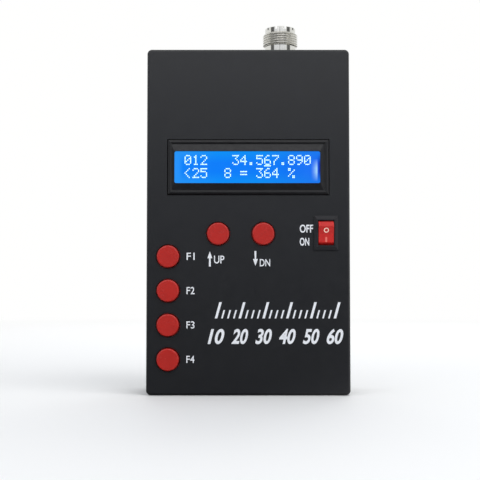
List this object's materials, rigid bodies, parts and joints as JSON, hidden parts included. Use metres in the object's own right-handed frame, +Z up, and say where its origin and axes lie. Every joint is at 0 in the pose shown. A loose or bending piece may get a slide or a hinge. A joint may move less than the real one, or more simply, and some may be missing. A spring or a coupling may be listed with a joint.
{
  "type": "antenna analyzer",
  "caption": "Handheld antenna analyzer: slab case with a lit two-line display, round red push buttons, a rocker power switch and a threaded antenna socket on top.",
  "frame": {"origin": "middle of the flat bottom face, on which the case stands", "axes": "+Z up along the case's height towards the antenna socket, +X to the right seen from the front, front face towards -Y"},
  "size_m": [0.0886, 0.0404, 0.1645],
  "materials": {
    "case_plastic": "fine moulded texture",
    "black_steel": "blackened",
    "bezel_black": "satin",
    "display_blue": "lit from one side",
    "clear_acrylic": "clear",
    "led_yellow": "gloss",
    "pink_silicone": "matt",
    "board_green": "solder mask",
    "chip_black": "matt",
    "header_black": "matt",
    "nylon_white": "matt",
    "nickel": "plated",
    "switch_black": "matt",
    "stem_white": "matt",
    "button_red": "satin",
    "housing_black": "satin",
    "rocker_red": "gloss",
    "contact_brass": "plated",
    "wire_red": "matt",
    "wire_black": "matt",
    "socket_metal": "bright plated",
    "dielectric": "waxy",
    "tinned_wire": "tinned",
    "holder_black": "moulded",
    "cell_sleeve": "printed sleeve",
    "foam_white": "foam",
    "copper_wire": "enamelled",
    "resistor_blue": "lacquer",
    "capacitor_blue": "sleeve",
    "trimmer_blue": "moulded"
  },
  "bodies": {
    "case": {"front_shell": "case_plastic", "rear_cover": "case_plastic", "cover_screws": "black_steel", "lcd_bezel": "bezel_black", "lcd_glass": "display_blue", "lcd_light_guide": "clear_acrylic", "lcd_backlight_led": "led_yellow", "lcd_contact_strips": "pink_silicone", "lcd_board": "board_green", "main_board": "board_green", "lcd_driver_blobs": "chip_black", "microcontroller": "chip_black", "dds_chip": "chip_black", "voltage_regulator": "chip_black", "lcd_header": "header_black", "lcd_spacers": "nylon_white", "battery_connector": "nylon_white", "lcd_screws": "nickel", "lcd_nuts": "nickel", "board_screws": "nickel", "switch_covers": "nickel", "switch_domes": "nickel", "antenna_socket_screws": "nickel", "antenna_socket_nuts": "nickel", "dc_jack_pin": "nickel", "usb_shell": "nickel", "battery_contacts": "nickel", "oscillator_can": "nickel", "switch_bases": "switch_black", "rocker_housing": "housing_black", "dc_jack_body": "housing_black", "usb_tongue": "housing_black", "rocker_terminals": "contact_brass", "antenna_socket_contact": "contact_brass", "rocker_leads": "wire_red", "battery_lead_positive": "wire_red", "battery_lead_negative": "wire_black", "antenna_socket_shell": "socket_metal", "antenna_socket_insulator": "dielectric", "antenna_lead": "tinned_wire", "battery_holder": "holder_black", "battery_cells": "cell_sleeve", "battery_tape": "foam_white", "bridge_toroids": "copper_wire", "bridge_resistors": "resistor_blue", "electrolytic_capacitors": "capacitor_blue", "trim_potentiometers": "trimmer_blue"},
    "up_button": {"up_button_cap": "button_red", "up_button_plunger": "stem_white"},
    "down_button": {"down_button_cap": "button_red", "down_button_plunger": "stem_white"},
    "side_button_1": {"side_button_1_cap": "button_red", "side_button_1_plunger": "stem_white"},
    "side_button_2": {"side_button_2_cap": "button_red", "side_button_2_plunger": "stem_white"},
    "side_button_3": {"side_button_3_cap": "button_red", "side_button_3_plunger": "stem_white"},
    "side_button_4": {"side_button_4_cap": "button_red", "side_button_4_plunger": "stem_white"},
    "rocker": {"rocker": "rocker_red"}
  },
  "joints": [
    {"name": "up_button_press", "type": "slide", "parent": "case", "child": "up_button", "axis": [0, 1, 0], "range_m": [0, 0.0003], "stiffness_N_per_m": 800, "springref_m": -0.002},
    {"name": "down_button_press", "type": "slide", "parent": "case", "child": "down_button", "axis": [0, 1, 0], "range_m": [0, 0.0003], "stiffness_N_per_m": 800, "springref_m": -0.002},
    {"name": "side_button_1_press", "type": "slide", "parent": "case", "child": "side_button_1", "axis": [0, 1, 0], "range_m": [0, 0.0003], "stiffness_N_per_m": 800, "springref_m": -0.002},
    {"name": "side_button_2_press", "type": "slide", "parent": "case", "child": "side_button_2", "axis": [0, 1, 0], "range_m": [0, 0.0003], "stiffness_N_per_m": 800, "springref_m": -0.002},
    {"name": "side_button_3_press", "type": "slide", "parent": "case", "child": "side_button_3", "axis": [0, 1, 0], "range_m": [0, 0.0003], "stiffness_N_per_m": 800, "springref_m": -0.002},
    {"name": "side_button_4_press", "type": "slide", "parent": "case", "child": "side_button_4", "axis": [0, 1, 0], "range_m": [0, 0.0003], "stiffness_N_per_m": 800, "springref_m": -0.002},
    {"name": "rocker_tilt", "type": "hinge", "parent": "case", "child": "rocker", "pos_m": [0.0338, -0.017, 0.0702], "axis": [-1, 0, 0], "range_deg": [0, 20]}
  ]
}
